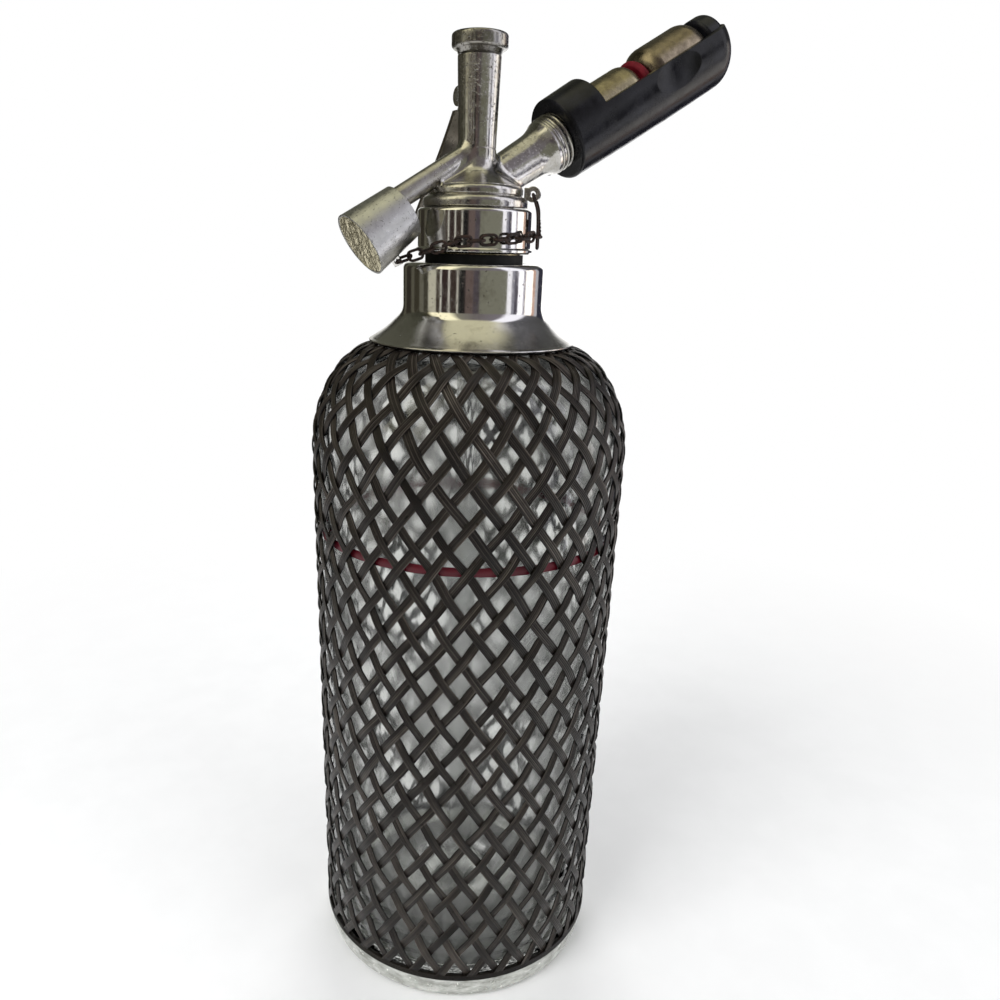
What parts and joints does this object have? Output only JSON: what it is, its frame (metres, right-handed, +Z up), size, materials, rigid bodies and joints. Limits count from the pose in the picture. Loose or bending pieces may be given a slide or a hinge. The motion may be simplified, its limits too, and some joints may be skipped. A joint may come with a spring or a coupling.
{
  "type": "soda siphon",
  "caption": "Net-covered glass soda siphon with a hollow-sided metal collar, squeeze lever, chained cap on the spout, and an open gas bulb holder screwed on a sloping spigot.",
  "frame": {"origin": "centre of the flat base that the bottle stands on", "axes": "+Z up along the bottle's axis, +X towards the gas bulb holder, -X towards the spout, +Y towards the lever"},
  "size_m": [0.1434, 0.1036, 0.3248],
  "materials": {
    "bottle_glass": "clear grey glass, greener in the thick foot, wavy inside",
    "net_wire": "dark brown woven strands, each of fine parallel coated wires, rubbed grey outside",
    "chrome": "old bright plate, warm grey, worn and lightly scratched",
    "brass": "bare brass gone brown in the hollows",
    "steel": "bright steel",
    "bulb_steel": "matt bronze-brown steel, rubbed brighter along the top",
    "bakelite": "black moulded bakelite with a grey sheen",
    "black_rubber": "smooth black rubber",
    "red_rubber": "red sealing rubber",
    "chain_iron": "dark tinned wire",
    "tube_glass": "clear glass tube"
  },
  "bodies": {
    "bottle": {"glass_bottle": "bottle_glass", "net_strands_right": "net_wire", "net_strands_left": "net_wire", "net_bottom_hoop": "net_wire", "net_top_hoop": "net_wire", "neck_collar": "chrome", "neck_clamp_ring": "steel", "threaded_neck_ring": "brass", "mouth_washer": "black_rubber", "collar_gasket": "black_rubber"},
    "seal": {"head_seal": "black_rubber"},
    "head": {"head_casting": "chrome", "retaining_ring": "brass", "dip_tube": "tube_glass", "dip_tube_sleeve": "black_rubber", "stem_packing": "black_rubber", "stem_gland": "brass", "valve_spring": "steel", "post_cap": "chrome", "lever_pin": "steel", "tether_chain": "chain_iron", "chain_wire": "chain_iron", "piercing_pin": "steel", "non_return_washer": "black_rubber"},
    "nut": {"union_nut": "chrome"},
    "lever": {"lever": "chrome"},
    "valve": {"valve_stem": "brass", "valve_washer": "black_rubber"},
    "cap": {"nozzle_cap": "chrome", "cap_disc": "brass", "cap_eye": "chrome"},
    "washer": {"spigot_seal": "black_rubber"},
    "bulb": {"bulb_seat": "brass", "red_seal_ring": "red_rubber", "gas_bulb": "bulb_steel"},
    "holder": {"bulb_holder": "bakelite", "holder_plug": "bakelite"}
  },
  "joints": [
    {"name": "head_off", "type": "slide", "parent": "bottle", "child": "seal", "axis": [0, 0, 1], "range_m": [0, 0.25]},
    {"name": "head_lift", "type": "slide", "parent": "seal", "child": "head", "axis": [0, 0, 1], "range_m": [0, 0.006]},
    {"name": "nut_turn", "type": "hinge", "parent": "head", "child": "nut", "pos_m": [0, 0, 0.257], "axis": [0, 0, 1], "range_deg": [0, 1080]},
    {"name": "lever_squeeze", "type": "hinge", "parent": "head", "child": "lever", "pos_m": [0, 0.0076, 0.2945], "axis": [-1, 0, 0], "range_deg": [0, 14], "stiffness_Nm_per_rad": 0.2, "springref_deg": -14.32},
    {"name": "valve_lift", "type": "slide", "parent": "head", "child": "valve", "axis": [0, 0, 1], "range_m": [0, 0.00145], "deforming": ["valve_spring"]},
    {"name": "cap_pull", "type": "slide", "parent": "head", "child": "cap", "axis": [-0.8211, 0, -0.5707], "range_m": [0, 0.02], "deforming": ["tether_chain"]},
    {"name": "bulb_off", "type": "slide", "parent": "head", "child": "washer", "axis": [0.8695, 0, 0.4939], "range_m": [0, 0.03]},
    {"name": "bulb_out", "type": "slide", "parent": "washer", "child": "bulb", "axis": [0.8695, 0, 0.4939], "range_m": [0, 0.009]},
    {"name": "holder_turn", "type": "hinge", "parent": "bulb", "child": "holder", "pos_m": [0, 0, 0.2681], "axis": [0.8695, 0, 0.4939], "range_deg": [0, 1620]}
  ],
  "couplings": [
    {"joint": "head_lift", "follows": "nut_turn", "m_per_rad": 0.000318},
    {"joint": "valve_lift", "follows": "lever_squeeze", "m_per_rad": 0.0059},
    {"joint": "bulb_out", "follows": "holder_turn", "m_per_rad": 0.000318}
  ]
}
